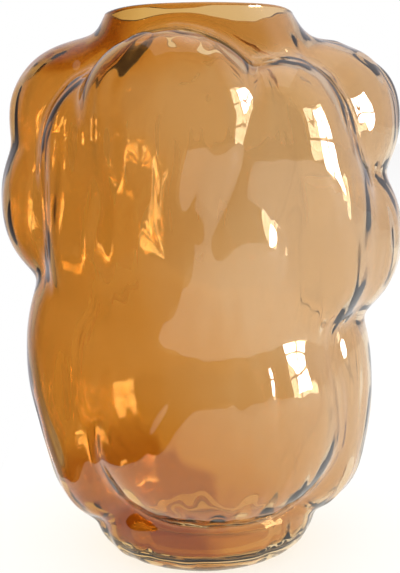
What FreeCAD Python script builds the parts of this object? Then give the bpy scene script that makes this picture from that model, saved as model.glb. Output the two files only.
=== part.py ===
import FreeCAD, Part
import math
import os

# Gourd vase: one vessel of free-blown glass with three uneven tiers of swells.
# Millimetres, +Z up. The origin is the middle of the foot, on the surface it stands on.
# The front is -Y and the right-hand side is +X.

# Driving sizes
height = 298.0              # from the table to the top of the lip
body_width = 222.0          # across the widest swells, left to right
mouth_diameter = 101.0      # over the glass at the lip
wall = 3.4                  # glass of the body and the neck
foot_diameter = 124.0       # across the foot roll
foot_roll_height = 40.0     # the roll under the lower swells
foot_roll_rounding = 18.0   # of the roll, top and bottom
stand_ring_width = 9.0      # the flat ring that the vase stands on
kick_height = 3.0           # how far the underside is pushed up inside that ring
floor_thickness = 8.0       # from the table to the top of the floor, inside
well_blend = 3.0            # softness of the turn from the floor to the wall, inside
crease_blend = 3.2          # softness of the creases between two swells
swell_blend = 9.0           # softness inside a swell blown from two or three bubbles
neck_blend = 4.5            # softness where the neck flows into the swells

# Driving angles and counts
side_lean = 25.0            # degrees that the neck opens downward, to the left and right
front_lean = -6.0           # the same to the front and back, where it narrows downward
bearings = 60               # points round each ring of the skin
outer_rings = 40            # rings of the outside, foot to lip
inner_rings = 34            # rings of the inside, lip to floor
skin_strips = 6             # faces that the skin is divided into, round the axis
skin_bands = 5              # and up the outside and down the inside
lip_steps = 6               # steps of the half round over the lip

# Where each swell lies, from front (0) over right (90) to back (180): the bearing in
# degrees, then its middle's height as a share of the height, its reach from the axis and its
# half depth and half width as shares of half the body width, its half height as a share of
# the height, and its squareness (2 is a plain egg shape). A swell may be several bubbles.
swell_shares = {
    "core": [(0, 0.470, 0.000, 0.721, 0.721, 0.362, 2.5)],
    "shoulder": [(0, 0.745, 0.000, 0.721, 0.721, 0.168, 2.0)],
    "front": [
        (-14, 0.813, 0.545, 0.273, 0.400, 0.142, 2.2),
        (-4, 0.658, 0.414, 0.369, 0.450, 0.221, 2.3),
        (-1, 0.537, 0.405, 0.360, 0.468, 0.174, 2.3),
    ],
    "front_right": [
        (40, 0.765, 0.570, 0.280, 0.330, 0.138, 2.2),
        (58, 0.605, 0.570, 0.318, 0.350, 0.178, 2.3),
    ],
    "front_left": [
        (-60, 0.758, 0.486, 0.306, 0.288, 0.134, 2.2),
        (-55, 0.591, 0.468, 0.342, 0.342, 0.181, 2.3),
    ],
    "top_left": [(-108, 0.810, 0.538, 0.441, 0.450, 0.148, 2.2)],
    "top_right": [(94, 0.799, 0.559, 0.423, 0.432, 0.148, 2.2)],
    "mid_left": [(-96, 0.658, 0.595, 0.405, 0.414, 0.164, 2.2)],
    "mid_right": [(90, 0.591, 0.601, 0.396, 0.432, 0.164, 2.2)],
    "low_left": [
        (-82, 0.386, 0.486, 0.396, 0.486, 0.208, 2.4),
        (-79, 0.187, 0.472, 0.297, 0.378, 0.124, 2.2),
    ],
    "low_right": [
        (90, 0.349, 0.470, 0.378, 0.440, 0.172, 2.4),
        (88, 0.205, 0.474, 0.330, 0.380, 0.138, 2.3),
    ],
    "low_front": [(10, 0.295, 0.390, 0.412, 0.600, 0.208, 2.3)],
    "back": [(172, 0.671, 0.402, 0.434, 0.486, 0.268, 2.3)],
    "back_low_left": [(-150, 0.302, 0.414, 0.441, 0.486, 0.215, 2.3)],
    "back_low_right": [(146, 0.289, 0.414, 0.441, 0.486, 0.208, 2.3)],
}

half_width = body_width / 2
lip_radius = wall / 2
lip_height = height - lip_radius
mouth_radius = mouth_diameter / 2


def swell(bearing, height_share, reach_share, deep_share, wide_share, tall_share, squareness):
    """Return a function that gives how far a point lies outside one egg-shaped bubble."""
    angle = math.radians(bearing)
    east, south = math.sin(angle), -math.cos(angle)
    reach = reach_share * half_width
    middle = (reach * east, reach * south, height_share * height)
    deep = deep_share * half_width
    wide = wide_share * half_width
    tall = tall_share * height

    def distance(x, y, z):
        dx, dy = x - middle[0], y - middle[1]
        u = (dx * east + dy * south) / deep
        t = (dx * -south + dy * east) / wide
        s = abs(z - middle[2]) / tall
        level = math.sqrt(u * u + t * t + s ** squareness)
        slope = math.hypot(2 * u / deep, 2 * t / wide, squareness * s ** (squareness - 1) / tall)
        return (level - 1) * 2 * level / max(slope, 1e-9 / half_width)

    return distance


def soft_union(distances, blend):
    """Join shapes given by their distances at a point, with creases as soft as blend."""
    least = min(distances)
    return least - blend * math.log(sum(math.exp((least - d) / blend) for d in distances))


def soft_common(distances, blend):
    return -soft_union([-d for d in distances], blend)


def rolled_disc(radius, rolled_height, rounding, x, y, z):
    """Distance to a disc that stands on the table and has rounded edges."""
    out = math.hypot(x, y) - (radius - rounding)
    up = abs(z - rolled_height / 2) - (rolled_height / 2 - rounding)
    return math.hypot(max(out, 0), max(up, 0)) + min(max(out, up), 0) - rounding


def neck(x, y, z):
    """Distance to the neck, an oval cone that ends inside the top swells."""
    wide = mouth_radius + (lip_height - z) * math.tan(math.radians(side_lean))
    deep = mouth_radius + (lip_height - z) * math.tan(math.radians(front_lean))
    side = (math.hypot(x / wide, y / deep) - 1) * deep
    neck_root = 0.84 * height
    return soft_common([side, neck_root - z], crease_blend)


swells = [[swell(*bubble) for bubble in bubbles] for bubbles in swell_shares.values()]


def outside(x, y, z):
    """How far a point lies outside the glass, negative within the vessel's outline."""
    parts = [soft_union([bubble(x, y, z) for bubble in group], swell_blend) for group in swells]
    parts.append(rolled_disc(foot_diameter / 2, foot_roll_height, foot_roll_rounding, x, y, z))
    return soft_union([soft_union(parts, crease_blend), neck(x, y, z)], neck_blend)


def inside(x, y, z):
    """How far a point lies outside the hollow: the outline less the wall, over a flat floor."""
    return soft_common([outside(x, y, z) + wall, floor_thickness - z], well_blend)


def first_crossing(distance, start, way):
    """Walk from a point on the axis until the distance turns positive, then close in on it."""
    def place(t):
        return [start[i] + t * way[i] for i in range(3)]

    step = half_width / 12
    far = step
    while distance(*place(far)) < 0:
        far += step
    near = far - step
    for halving in range(20):
        middle = (near + far) / 2
        if distance(*place(middle)) < 0:
            near = middle
        else:
            far = middle
    return FreeCAD.Vector(*place((near + far) / 2))


def circle_points(radius, z):
    turns = [2 * math.pi * k / bearings for k in range(bearings)]
    return [FreeCAD.Vector(radius * math.sin(a), -radius * math.cos(a), z) for a in turns]


def skin_rings(distance, low_radius, low_z, high_radius, high_z, count):
    """Rings of points on a skin, from a true circle low down to a true circle at the lip.

    Each ring is cast from a point on the axis, on rays that climb from steeply down to
    steeply up, so the rings follow the skin round the foot and up the neck.
    """
    low_eye, steep = 0.2 * height, math.radians(60)
    high_eye = high_z - high_radius * math.tan(steep)
    low_steep = -math.atan2(low_eye - low_z, low_radius)
    rings = [circle_points(low_radius, low_z)]
    for k in range(1, count - 1):
        share = k / (count - 1)
        rise = low_steep + share * (steep - low_steep)
        eye = FreeCAD.Vector(0, 0, low_eye + share * (high_eye - low_eye))
        ways = [FreeCAD.Vector(p.x, p.y, math.tan(rise)) for p in circle_points(1, 0)]
        rings.append([first_crossing(distance, eye, way.normalize()) for way in ways])
    return rings + [circle_points(high_radius, high_z)]


def lip_rings():
    """The fire-polished lip, a half round from the outside over to the inside."""
    turns = [math.pi * k / lip_steps for k in range(1, lip_steps)]
    middle = mouth_radius - lip_radius
    return [circle_points(middle + lip_radius * math.cos(a), lip_height + lip_radius * math.sin(a))
            for a in turns]


def skin_faces(rings, band_count):
    """One smooth skin through all the rings, closed round the axis, in strips and bands."""
    around = [k / bearings for k in range(bearings + 1)]
    climbs = [sum(a.distanceToPoint(b) for a, b in zip(low, high)) / bearings
              for low, high in zip(rings, rings[1:])]
    along = [sum(climbs[:k]) / sum(climbs) for k in range(len(rings))]
    ring_poles = []
    for ring in rings:
        curve = Part.BSplineCurve()
        curve.interpolate(Points=ring, PeriodicFlag=True, Parameters=around)
        ring_poles.append(curve.getPoles())
    net = []
    for column in zip(*ring_poles):
        rib = Part.BSplineCurve()
        rib.interpolate(Points=list(column), Parameters=along)
        net.append(rib.getPoles())
    surface = Part.BSplineSurface()
    surface.buildFromPolesMultsKnots(
        net, curve.getMultiplicities(), rib.getMultiplicities(), curve.getKnots(),
        rib.getKnots(), True, False, curve.Degree, rib.Degree)
    strips = [k / skin_strips for k in range(skin_strips + 1)]
    bands = [along[round(k * (len(rings) - 1) / band_count)] for k in range(band_count + 1)]
    return [surface.toShape(west, east, low, high)
            for west, east in zip(strips, strips[1:]) for low, high in zip(bands, bands[1:])]


def level_wire(faces, z):
    """The closed wire of the edges that lie level at a height."""
    edges = [edge for face in faces for edge in face.Edges]
    level = [e for e in edges if abs(e.BoundBox.ZMin - z) + e.BoundBox.ZLength < wall / 100]
    return Part.Wire(Part.__sortEdges__(level))


def kick_face():
    """The dished middle of the underside, part of a sphere."""
    kick_radius = foot_diameter / 2 - foot_roll_rounding - stand_ring_width
    sphere_radius = (kick_radius ** 2 + kick_height ** 2) / (2 * kick_height)
    middle = FreeCAD.Vector(0, 0, kick_height - sphere_radius)
    rim_angle = math.degrees(math.asin((sphere_radius - kick_height) / sphere_radius))
    cap = Part.makeSphere(sphere_radius, middle, FreeCAD.Vector(0, 0, 1), rim_angle, 90, 360)
    return [face for face in cap.Faces if "Sphere" in face.Surface.TypeId][0]


def blown_glass_vessel():
    stand_radius = foot_diameter / 2 - foot_roll_rounding
    floor_radius = stand_radius - wall
    outer = skin_rings(outside, stand_radius, 0, mouth_radius, lip_height, outer_rings)
    inner = skin_rings(inside, floor_radius, floor_thickness, mouth_radius - wall, lip_height,
                       inner_rings)
    outer_skin = skin_faces(outer, skin_bands)
    inner_skin = skin_faces(inner, skin_bands)
    lip = skin_faces([outer[-1]] + lip_rings() + [inner[-1]], 1)
    kick = kick_face()
    ring = Part.Face([level_wire(outer_skin, 0), level_wire([kick], 0)],
                     "Part::FaceMakerBullseye")
    floor = Part.Face(level_wire(inner_skin, floor_thickness))
    glass = Part.makeCompound(outer_skin + inner_skin + lip + [ring, kick, floor])
    glass.sewShape()
    return Part.makeSolid(glass.Shells[0] if glass.Shells else glass)


os.makedirs("parts", exist_ok=True)
vessel = blown_glass_vessel()
vessel.exportStep("parts/blown_glass_vessel.step")
print("blown_glass_vessel", "valid", vessel.isValid(), "solids", len(vessel.Solids),
      "volume", round(vessel.Volume), "box", vessel.BoundBox)
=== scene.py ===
import math
import bpy
import numpy as np
from mathutils import Matrix, Vector


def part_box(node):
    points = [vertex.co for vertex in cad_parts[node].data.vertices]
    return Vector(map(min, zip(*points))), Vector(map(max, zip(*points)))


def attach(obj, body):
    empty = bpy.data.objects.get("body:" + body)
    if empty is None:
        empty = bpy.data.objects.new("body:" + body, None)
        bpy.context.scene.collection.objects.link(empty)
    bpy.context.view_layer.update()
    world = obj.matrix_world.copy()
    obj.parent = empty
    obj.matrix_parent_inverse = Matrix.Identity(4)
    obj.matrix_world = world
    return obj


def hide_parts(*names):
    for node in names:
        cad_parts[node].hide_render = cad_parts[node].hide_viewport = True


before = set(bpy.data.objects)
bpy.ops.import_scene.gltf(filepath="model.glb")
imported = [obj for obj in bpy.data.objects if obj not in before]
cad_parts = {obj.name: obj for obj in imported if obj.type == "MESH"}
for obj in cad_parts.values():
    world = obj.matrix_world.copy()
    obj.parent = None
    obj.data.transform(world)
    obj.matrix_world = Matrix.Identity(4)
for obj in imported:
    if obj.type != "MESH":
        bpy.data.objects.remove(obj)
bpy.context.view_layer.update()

# The vessel
# One bubble of soda-lime glass, blown free and swelled in three uneven tiers. The glass is
# 3 to 4 mm thick, over a foot of 8 mm, and it was fire-polished at the lip.
low_corner, high_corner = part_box("blown_glass_vessel")
height = high_corner[2] - low_corner[2]
mm = height / 298.0
half_width = 111.0 * mm
mouth_radius = 50.5 * mm
wall = 3.4 * mm
lip_radius = wall / 2
lip_height = height - lip_radius
side_lean = math.radians(29.0)
front_lean = math.radians(-6.0)
neck_turn = math.radians(-24.0)
foot_radius = 62.0 * mm
foot_roll_height = 40.0 * mm
foot_roll_rounding = 18.0 * mm
stand_ring_width = 9.0 * mm
kick_height = 3.0 * mm
floor_thickness = 8.0 * mm
well_blend = 3.0 * mm
crease_blend = 3.2 * mm
swell_blend = 9.0 * mm
neck_blend = 4.5 * mm
neck_foot = 0.84 * height

# Each swell: bearing in degrees from the front, over the right, to the back; then its
# middle's height as a share of the height, its reach, half depth and half width as shares of
# half the body's width, its half height as a share of the height, and its squareness.
swell_shares = {
    "core": [(0, 0.470, 0.000, 0.721, 0.721, 0.362, 2.5)],
    "shoulder": [(0, 0.745, 0.000, 0.721, 0.721, 0.168, 2.0)],
    "front": [
        (-14, 0.813, 0.545, 0.273, 0.400, 0.142, 2.2),
        (-4, 0.658, 0.414, 0.369, 0.450, 0.221, 2.3),
        (-1, 0.537, 0.405, 0.360, 0.468, 0.174, 2.3),
    ],
    "front_right": [
        (40, 0.765, 0.570, 0.280, 0.330, 0.138, 2.2),
        (58, 0.605, 0.570, 0.318, 0.350, 0.178, 2.3),
    ],
    "front_left": [
        (-60, 0.758, 0.486, 0.306, 0.288, 0.134, 2.2),
        (-55, 0.591, 0.468, 0.342, 0.342, 0.181, 2.3),
    ],
    "top_left": [(-108, 0.810, 0.538, 0.441, 0.450, 0.148, 2.2)],
    "top_right": [(94, 0.799, 0.559, 0.423, 0.432, 0.148, 2.2)],
    "mid_left": [(-96, 0.658, 0.595, 0.405, 0.414, 0.164, 2.2)],
    "mid_right": [(90, 0.591, 0.601, 0.396, 0.432, 0.164, 2.2)],
    "low_left": [
        (-82, 0.386, 0.486, 0.396, 0.486, 0.208, 2.4),
        (-79, 0.187, 0.472, 0.297, 0.378, 0.124, 2.2),
    ],
    "low_right": [
        (90, 0.349, 0.470, 0.378, 0.440, 0.172, 2.4),
        (88, 0.205, 0.474, 0.330, 0.380, 0.138, 2.3),
    ],
    "low_front": [(10, 0.295, 0.390, 0.412, 0.600, 0.208, 2.3)],
    "back": [(172, 0.671, 0.402, 0.434, 0.486, 0.268, 2.3)],
    "back_low_left": [(-150, 0.302, 0.414, 0.441, 0.486, 0.215, 2.3)],
    "back_low_right": [(146, 0.289, 0.414, 0.441, 0.486, 0.208, 2.3)],
}


def swell(points, shares):
    """How far each point lies outside one egg-shaped bubble."""
    bearing, height_share, reach_share, deep_share, wide_share, tall_share, squareness = shares
    angle = math.radians(bearing)
    east, south = math.sin(angle), -math.cos(angle)
    reach = reach_share * half_width
    deep, wide, tall = deep_share * half_width, wide_share * half_width, tall_share * height
    dx = points[..., 0] - reach * east
    dy = points[..., 1] - reach * south
    u = (dx * east + dy * south) / deep
    t = (dx * -south + dy * east) / wide
    s = np.abs(points[..., 2] - height_share * height) / tall
    level = np.sqrt(u * u + t * t + s ** squareness)
    slope = np.sqrt((2 * u / deep) ** 2 + (2 * t / wide) ** 2
                    + (squareness * s ** (squareness - 1) / tall) ** 2)
    # That is the slope of the level squared, so the level's own slope is slope / (2 * level).
    return (level - 1) * 2 * level / np.maximum(slope, 1e-9 / half_width)


def soft_union(distances, blend):
    stack = np.stack(distances)
    least = stack.min(axis=0)
    return least - blend * np.log(np.exp((least - stack) / blend).sum(axis=0))


def soft_common(distances, blend):
    return -soft_union([-d for d in distances], blend)


def outside(points):
    """How far each point lies outside the glass, negative within the vessel's outline."""
    radius, z = np.hypot(points[..., 0], points[..., 1]), points[..., 2]
    parts = [soft_union([swell(points, bubble) for bubble in group], swell_blend)
             for group in swell_shares.values()]
    # The roll of the foot is a disc with a rounded edge.
    out = radius - (foot_radius - foot_roll_rounding)
    up = np.abs(z - foot_roll_height / 2) - (foot_roll_height / 2 - foot_roll_rounding)
    parts.append(np.hypot(np.maximum(out, 0), np.maximum(up, 0))
                 + np.minimum(np.maximum(out, up), 0) - foot_roll_rounding)
    # The neck is round at the mouth, and lower down it widens to the sides and narrows in depth.
    wide = mouth_radius + (lip_height - z) * math.tan(side_lean)
    deep = mouth_radius + (lip_height - z) * math.tan(front_lean)
    along = points[..., 0] * math.cos(neck_turn) + points[..., 1] * math.sin(neck_turn)
    across = points[..., 1] * math.cos(neck_turn) - points[..., 0] * math.sin(neck_turn)
    side = (np.hypot(along / wide, across / deep) - 1) * deep
    neck = soft_common([side, neck_foot - z], crease_blend)
    return soft_union([soft_union(parts, crease_blend), neck], neck_blend)


def inside(points):
    """How far each point lies outside the hollow."""
    return soft_common([outside(points) + wall, floor_thickness - points[..., 2]], well_blend)


bearings = 480
outer_rings = 340
inner_rings = 300
turns = 2 * math.pi * np.arange(bearings) / bearings

# Waves of the skin: the shortest and the longest in mm, how much they climb, their slope, and
# how many there are. The drags are lines drawn out as the glass sagged.
wave_families = {
    "swells": (26, 64, 1.0, 0.010, 12),
    "patches": (30, 70, 0.6, 1.000, 5),
    "drags": (9, 19, 0.22, 0.022, 18),
}
usual_drag = 0.55
least_drag = 0.1
most_drag = 1.5
patch_height = 14 * mm


def ripples(points, seed):
    """How far the waves push the skin out. The patches only say where the drags are strong."""
    chance = np.random.default_rng(seed)
    x, y, z = points[..., 0], points[..., 1], points[..., 2]
    families = []
    for shortest, longest, drawn, slope, waves in wave_families.values():
        total = np.zeros(x.shape)
        for wave in range(waves):
            length = chance.uniform(shortest, longest) * mm
            bearing = chance.uniform(0, math.pi)
            climb = drawn * chance.uniform(-1, 1)
            along = x * math.cos(bearing) + y * math.sin(bearing) + z * climb
            total += (slope * length / (2 * math.pi)
                      * np.sin(2 * math.pi * (along / length + chance.uniform(0, 1))))
        families.append(total)
    swells, patches, drags = families
    return swells + drags * np.clip(usual_drag + patches / patch_height, least_drag, most_drag)


# Furrows that the blower's tools and the sagging left in the front: bearing in degrees, the
# middle's height as a share of the height, then half width, half length, depth and lean in mm.
furrows = [(9, 0.70, 5, 34, 1.7, 8), (-1, 0.72, 4, 18, 0.5, 4), (-13, 0.60, 6, 20, 0.8, -4),
           (-24, 0.70, 5, 32, 0.7, 3), (-39, 0.64, 5, 26, 0.9, 2), (-31, 0.36, 6, 20, 1.3, -8),
           (-17, 0.37, 6, 20, 0.8, 8), (-42, 0.28, 6, 14, 0.8, 3), (-12, 0.33, 5, 18, 1.1, 6),
           (13, 0.37, 4, 16, 0.6, 2), (25, 0.36, 4, 22, 0.8, -3), (31, 0.62, 6, 30, 0.6, 6)]
furrow_wander = 1.5 * mm
wander_turns = 2.6


def furrowed(points):
    """How far the furrows draw the skin in."""
    bearing = np.arctan2(points[..., 0], -points[..., 1])
    radius = np.hypot(points[..., 0], points[..., 1])
    total = np.zeros(radius.shape)
    for middle, share, half_wide, half_long, depth, lean in furrows:
        rise = (points[..., 2] - share * height) / (half_long * mm)
        wander = furrow_wander * np.sin(wander_turns * rise)
        aside = radius * (bearing - math.radians(middle)) - lean * mm * rise - wander
        total += depth * mm * np.exp(-rise ** 2 - (aside / (half_wide * mm)) ** 2)
    return total


def circle(radius, z):
    return np.stack([radius * np.sin(turns), -radius * np.cos(turns), np.full(bearings, z)], -1)


def skin_rings(distance, seed, low_radius, low_z, high_radius, high_z, count):
    """Rings of points on a skin, from a circle low down to a circle at the lip.

    Each ring is cast from its own eye on the axis. The eyes climb as the rays turn upward.
    """
    low_eye = 0.2 * height
    steep = math.radians(60)
    fade_share = 0.08
    high_eye = high_z - high_radius * math.tan(steep)
    low_steep = -math.atan2(low_eye - low_z, low_radius)
    share = np.arange(1, count - 1) / (count - 1)
    rise = (low_steep + share * (steep - low_steep))[:, None]
    ways = np.stack([np.cos(rise) * np.sin(turns), -np.cos(rise) * np.cos(turns),
                     np.broadcast_to(np.sin(rise), (count - 2, bearings))], -1)
    eyes = np.zeros_like(ways)
    eyes[..., 2] = (low_eye + share * (high_eye - low_eye))[:, None]
    # Rays step outward until they are past the skin, and each last step is then halved again and
    # again.
    step = half_width / 12
    halvings = 18
    far = np.full(ways.shape[:2], step)
    waiting = np.ones(far.shape, bool)
    while waiting.any():
        waiting &= distance(eyes + ways * far[..., None]) < 0
        far = np.where(waiting, far + step, far)
    near = far - step
    for halving in range(halvings):
        middle = (near + far) / 2
        short = distance(eyes + ways * middle[..., None]) < 0
        near, far = np.where(short, middle, near), np.where(short, far, middle)
    skin = eyes + ways * ((near + far) / 2)[..., None]
    # Waves and furrows fade out toward both circles, so that the skin ends smoothly on them.
    fade = np.minimum(1, np.minimum(share, 1 - share) / fade_share)[:, None]
    skin = skin + ways * (fade * (ripples(skin, seed) - furrowed(skin)))[..., None]
    return np.concatenate([circle(low_radius, low_z)[None], skin,
                           circle(high_radius, high_z)[None]])


stand_radius = foot_radius - foot_roll_rounding
kick_radius = stand_radius - stand_ring_width
floor_radius = stand_radius - wall
outer_skin = skin_rings(outside, 3, stand_radius, 0, mouth_radius, lip_height, outer_rings)
inner_skin = skin_rings(inside, 8, floor_radius, floor_thickness, mouth_radius - wall, lip_height,
                        inner_rings)
lip_steps = 12
lip_turns = [math.pi * k / lip_steps for k in range(1, lip_steps)]
lip = [circle(mouth_radius - lip_radius + lip_radius * math.cos(a),
              lip_height + lip_radius * math.sin(a)) for a in lip_turns]
kick_shares = [0.08, 0.3, 0.55, 0.8, 0.95, 1.0]
kick = [circle(share * kick_radius, kick_height * (1 - share ** 2)) for share in kick_shares]
floor_shares = [0.95, 0.7, 0.4, 0.1]
floor = [circle(share * floor_radius, floor_thickness) for share in floor_shares]
rings = np.concatenate([np.array(kick), outer_skin, np.array(lip), inner_skin[::-1],
                        np.array(floor)])

# The rim isn't quite level: it was cut and fire-polished by eye, and dips toward the back.
rim_dip = 4.2 * mm
rim_wave = 1.0 * mm
rim_waves_round = 5
rim_wave_start = 1.0
rim_from = 0.90 * height
back_share = (1 - np.cos(turns)) / 2
waving = np.sin(rim_waves_round * turns + rim_wave_start)
dip = rim_dip * back_share ** 1.5 + rim_wave * back_share * waving
near_rim = np.clip((rings[..., 2] - rim_from) / (height - rim_from), 0, 1) ** 2
rings[..., 2] -= near_rim * dip

ring_count = len(rings)
corners = rings.reshape(-1, 3)
grid = np.arange(ring_count * bearings).reshape(ring_count, bearings)
lower, upper = grid[:-1], grid[1:]
quads = np.stack([lower, np.roll(lower, -1, 1), np.roll(upper, -1, 1), upper], -1)
faces = [tuple(int(i) for i in quad) for quad in quads.reshape(-1, 4)]
faces.append(tuple(int(i) for i in grid[0][::-1]))
faces.append(tuple(int(i) for i in grid[-1]))
vessel_mesh = bpy.data.meshes.new("blown_glass")
vessel_mesh.from_pydata([tuple(c) for c in corners], [], faces)
vessel_mesh.validate()
vessel_mesh.shade_smooth()
vessel = bpy.data.objects.new("blown_glass", vessel_mesh)
bpy.context.collection.objects.link(vessel)
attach(vessel, "root")
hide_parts("blown_glass_vessel")

# The glass and its lustre
# Soda-lime glass with an amber lustre, fired on after blowing and polished by the fire, so it
# is clear and quite smooth, with a tint that stays in the skin and not in the depth. The
# lustre took unevenly, in clouds. The left is honey, and the right is painted a pale peach,
# a painted reflection of the daylit side of the room.


def linear(hex_colour):
    """An sRGB hex colour as linear red, green, blue and 1."""
    values = [int(hex_colour[k:k + 2], 16) / 255 for k in (1, 3, 5)]
    return [v / 12.92 if v <= 0.04045 else ((v + 0.055) / 1.055) ** 2.4 for v in values] + [1.0]


def add_node(tree, kind, settings=None, links=None):
    """Add a node, set its properties and inputs, by name or number, and link other inputs."""
    node = tree.nodes.new(kind)
    for key, value in (settings or {}).items():
        if isinstance(key, int) or key in node.inputs:
            node.inputs[key].default_value = value
        else:
            setattr(node, key, value)
    for key, socket in (links or {}).items():
        tree.links.new(socket, node.inputs[key])
    return node


lustre_glass = bpy.data.materials.new("amber_lustre_soda_lime_glass")
lustre_glass.use_nodes = True
tree = lustre_glass.node_tree
tree.nodes.clear()
place = add_node(tree, "ShaderNodeTexCoord").outputs["Object"]

# The tint is painted paler to the right and a little upward, a painted reflection of the
# daylit room on that side, with clouds of uneven lustre in it. A value of 0 is the deepest
# tint and 1 the palest.
reflected_daylight_way = (1.0, 0.0, 0.2)
reflected_daylight_from = -20 * mm
reflected_daylight_to = 130 * mm
cloud_width_mm = 70
cloud_strength = 0.5
along_way = add_node(tree, "ShaderNodeVectorMath", {"operation": "DOT_PRODUCT", 1: reflected_daylight_way},
                     {0: place})
reflected_daylight_paling = add_node(tree, "ShaderNodeMapRange",
                    {"From Min": reflected_daylight_from, "From Max": reflected_daylight_to},
                    {"Value": along_way.outputs["Value"]})
clouds = add_node(tree, "ShaderNodeTexNoise", {"Scale": 1000 / cloud_width_mm, "Detail": 2.0},
                  {"Vector": place})
clouds_and_reflected_daylight = add_node(tree, "ShaderNodeMath", {"operation": "MULTIPLY_ADD", 1: cloud_strength},
                  {0: clouds.outputs["Fac"], 2: reflected_daylight_paling.outputs["Result"]})

# It is painted paler still in a round patch through the middle, front and back, a painted
# reflection of the white table in the glass.
reflected_veil_middle = (30 * mm, 0.0, 155 * mm)
reflected_veil_core = 20 * mm
reflected_veil_edge = 65 * mm
reflected_veil_strength = 0.25
side_to_side_and_up = (1.0, 0.0, 1.0)
seen_flat = add_node(tree, "ShaderNodeVectorMath",
                     {"operation": "MULTIPLY", 1: side_to_side_and_up}, {0: place})
from_reflected_veil = add_node(tree, "ShaderNodeVectorMath", {"operation": "DISTANCE", 1: reflected_veil_middle},
                      {0: seen_flat.outputs["Vector"]})
reflected_veil_paling = add_node(tree, "ShaderNodeMapRange",
                 {"From Min": reflected_veil_edge, "From Max": reflected_veil_core, "To Max": reflected_veil_strength,
                  "interpolation_type": "SMOOTHSTEP"},
                 {"Value": from_reflected_veil.outputs["Value"]})
paler = add_node(tree, "ShaderNodeMath", {"operation": "ADD"},
                 {0: clouds_and_reflected_daylight.outputs["Value"], 1: reflected_veil_paling.outputs["Result"]})

# It is deeper in the foot and the neck, where the glass is thicker.
foot_from = 60 * mm
foot_to = 15 * mm
neck_from = 262 * mm
neck_to = 282 * mm
deepening = -0.45
up = add_node(tree, "ShaderNodeSeparateXYZ", links={"Vector": place}).outputs["Z"]
in_foot = add_node(tree, "ShaderNodeMapRange", {"From Min": foot_from, "From Max": foot_to},
                   {"Value": up})
in_neck = add_node(tree, "ShaderNodeMapRange", {"From Min": neck_from, "From Max": neck_to},
                   {"Value": up})
thicker = add_node(tree, "ShaderNodeMath", {"operation": "ADD"},
                   {0: in_foot.outputs["Result"], 1: in_neck.outputs["Result"]})
paleness = add_node(tree, "ShaderNodeMath",
                    {"operation": "MULTIPLY_ADD", "use_clamp": True, 1: deepening},
                    {0: thicker.outputs["Value"], 2: paler.outputs["Value"]})
honey_at = 0.12
tint = add_node(tree, "ShaderNodeValToRGB", links={"Fac": paleness.outputs["Value"]})
tint.color_ramp.elements[0].color = linear("#BE822F")
tint.color_ramp.elements[1].color = linear("#E8CDA7")
tint.color_ramp.elements.new(honey_at).color = linear("#DCAC5D")
glass = add_node(tree, "ShaderNodeBsdfPrincipled",
                 {"Roughness": 0.0, "IOR": 1.56, "Transmission Weight": 1.0},
                 {"Base Color": tint.outputs["Color"]})

# Lamplight and the table's soft light pass almost freely, so the table stays pale underneath.
nearly_clear = add_node(tree, "ShaderNodeBsdfTransparent", {"Color": linear("#FCF9F4")})
ray = add_node(tree, "ShaderNodeLightPath")
to_lamps = add_node(tree, "ShaderNodeMixShader", links={
    0: ray.outputs["Is Shadow Ray"], 1: glass.outputs["BSDF"], 2: nearly_clear.outputs["BSDF"]})
surface = add_node(tree, "ShaderNodeMixShader", links={
    0: ray.outputs["Is Diffuse Ray"], 1: to_lamps.outputs["Shader"],
    2: nearly_clear.outputs["BSDF"]})
add_node(tree, "ShaderNodeOutputMaterial", links={"Surface": surface.outputs["Shader"]})
vessel_mesh.materials.append(lustre_glass)

# The table
# A plain white tabletop that the vase stands on. It ends a little left of the vase, so that
# side of the glass mirrors the dim room instead. It isn't part of the object.
left_end, right_end = -0.14, 3.0
near_end, far_end = -2.2, 5.4
bpy.ops.mesh.primitive_plane_add(
    size=1.0, location=((left_end + right_end) / 2, (near_end + far_end) / 2, 0))
table = bpy.context.object
table.scale = (right_end - left_end, far_end - near_end, 1.0)
table.name = "tabletop"
paint = bpy.data.materials.new("matt_white_paint")
paint.use_nodes = True
paint_inputs = paint.node_tree.nodes["Principled BSDF"].inputs
paint_inputs["Base Color"].default_value = linear("#FCFCFC")
paint_inputs["Roughness"].default_value = 0.9
table.data.materials.append(paint)

# The studio
# A white surround that the camera sees, also through the glass, and a room that only the
# glass mirrors: dim in front and on the left, and daylit toward the right and the back.
world = bpy.data.worlds.new("white_studio")
bpy.context.scene.world = world
world.use_nodes = True
sky = world.node_tree
sky.nodes.clear()
daylit_way = (0.55, 0.85, 0.0)
dim_until = -0.1
daylit_from = 0.5
direction = add_node(sky, "ShaderNodeTexCoord").outputs["Generated"]
toward_day = add_node(sky, "ShaderNodeVectorMath", {"operation": "DOT_PRODUCT", 1: daylit_way},
                      {0: direction})
daylight = add_node(sky, "ShaderNodeMapRange", {"From Min": dim_until, "From Max": daylit_from},
                    {"Value": toward_day.outputs["Value"]})
dim_side = add_node(sky, "ShaderNodeBackground", {"Color": linear("#66452C"), "Strength": 1.0})
day_side = add_node(sky, "ShaderNodeBackground", {"Color": linear("#E4DEE2"), "Strength": 1.0})
room = add_node(sky, "ShaderNodeMixShader", links={
    0: daylight.outputs["Result"], 1: dim_side.outputs["Background"],
    2: day_side.outputs["Background"]})
white = add_node(sky, "ShaderNodeBackground", {"Color": linear("#FFFFFF"), "Strength": 1.0})

# A ray that passes straight through the glass is glossy too, but its glossy depth is 0.
path = add_node(sky, "ShaderNodeLightPath")
mirrored = add_node(sky, "ShaderNodeMath", {"operation": "MINIMUM"},
                    {0: path.outputs["Is Glossy Ray"], 1: path.outputs["Glossy Depth"]})
surround = add_node(sky, "ShaderNodeMixShader", links={
    0: mirrored.outputs["Value"], 1: white.outputs["Background"], 2: room.outputs["Shader"]})
add_node(sky, "ShaderNodeOutputWorld", links={"Surface": surround.outputs["Shader"]})


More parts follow.
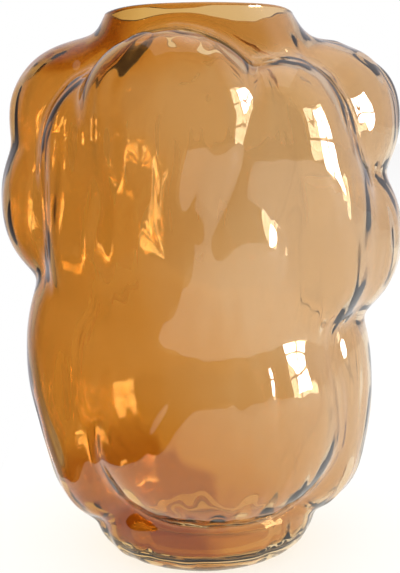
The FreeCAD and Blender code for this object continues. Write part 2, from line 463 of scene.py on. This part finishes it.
def soft_lamp(name, place, target, width, tall, power, lights_room):
    """A rectangular lamp, power in watts, that the camera doesn't see."""
    light = bpy.data.lights.new(name, "AREA")
    light.shape = "RECTANGLE"
    light.size, light.size_y = width, tall
    light.energy = power
    lamp = bpy.data.objects.new(name, light)
    lamp.location = place
    aim = Vector(target) - Vector(place)
    lamp.rotation_euler = aim.to_track_quat("-Z", "Y").to_euler()
    lamp.visible_camera = False
    lamp.visible_diffuse = lights_room
    bpy.context.collection.objects.link(lamp)


middle_of_vase = (0, 0, height / 2)
softbox_place = (0.0, 0.2, 2.2)
softbox_side = 1.8
softbox_watts = 6.0
soft_lamp("overhead_softbox", softbox_place, middle_of_vase, softbox_side, softbox_side,
          softbox_watts, True)

# A window of six panes, to the right in front. Only the glass shows it.
window_bearing = math.radians(75)
window_rise = math.radians(14)
window_distance = 1.9
sill_height = 0.2
window_middle = Vector((window_distance * math.sin(window_bearing) * math.cos(window_rise),
                        -window_distance * math.cos(window_bearing) * math.cos(window_rise),
                        sill_height + window_distance * math.sin(window_rise)))
across = Vector((math.cos(window_bearing), math.sin(window_bearing), 0))
pane_width = 0.30
pane_height = 0.38
pane_watts = 11.0
glazing_bar = 0.05
for column in (-1, 1):
    for row in (-1, 0, 1):
        shift = across * column * (pane_width + glazing_bar) / 2
        rise = Vector((0, 0, row * (pane_height + glazing_bar)))
        soft_lamp("window_pane", window_middle + shift + rise,
                  Vector(middle_of_vase) + shift + rise, pane_width, pane_height, pane_watts,
                  False)

# The camera
# It stands 0.58 m in front of the vase, a little below the height of the mouth, and looks
# down. Its focal length is given in pixels of the photo.
photo_height_px = 573
focal_px = 1050
camera_data = bpy.data.cameras.new("camera")
camera_data.sensor_fit = "VERTICAL"
camera_data.sensor_height = 36.0
camera_data.lens = focal_px / photo_height_px * camera_data.sensor_height
camera = bpy.data.objects.new("camera", camera_data)
camera.location = (-0.001, -0.580, 0.250)
look_down = math.radians(10.0)
roll = math.radians(-0.7)
level_up = math.radians(90) - look_down
turn = Matrix.Rotation(level_up, 4, "X") @ Matrix.Rotation(roll, 4, "Z")
camera.rotation_euler = turn.to_euler()
bpy.context.collection.objects.link(camera)
bpy.context.scene.camera = camera
bpy.context.scene.view_settings.view_transform = "Standard"
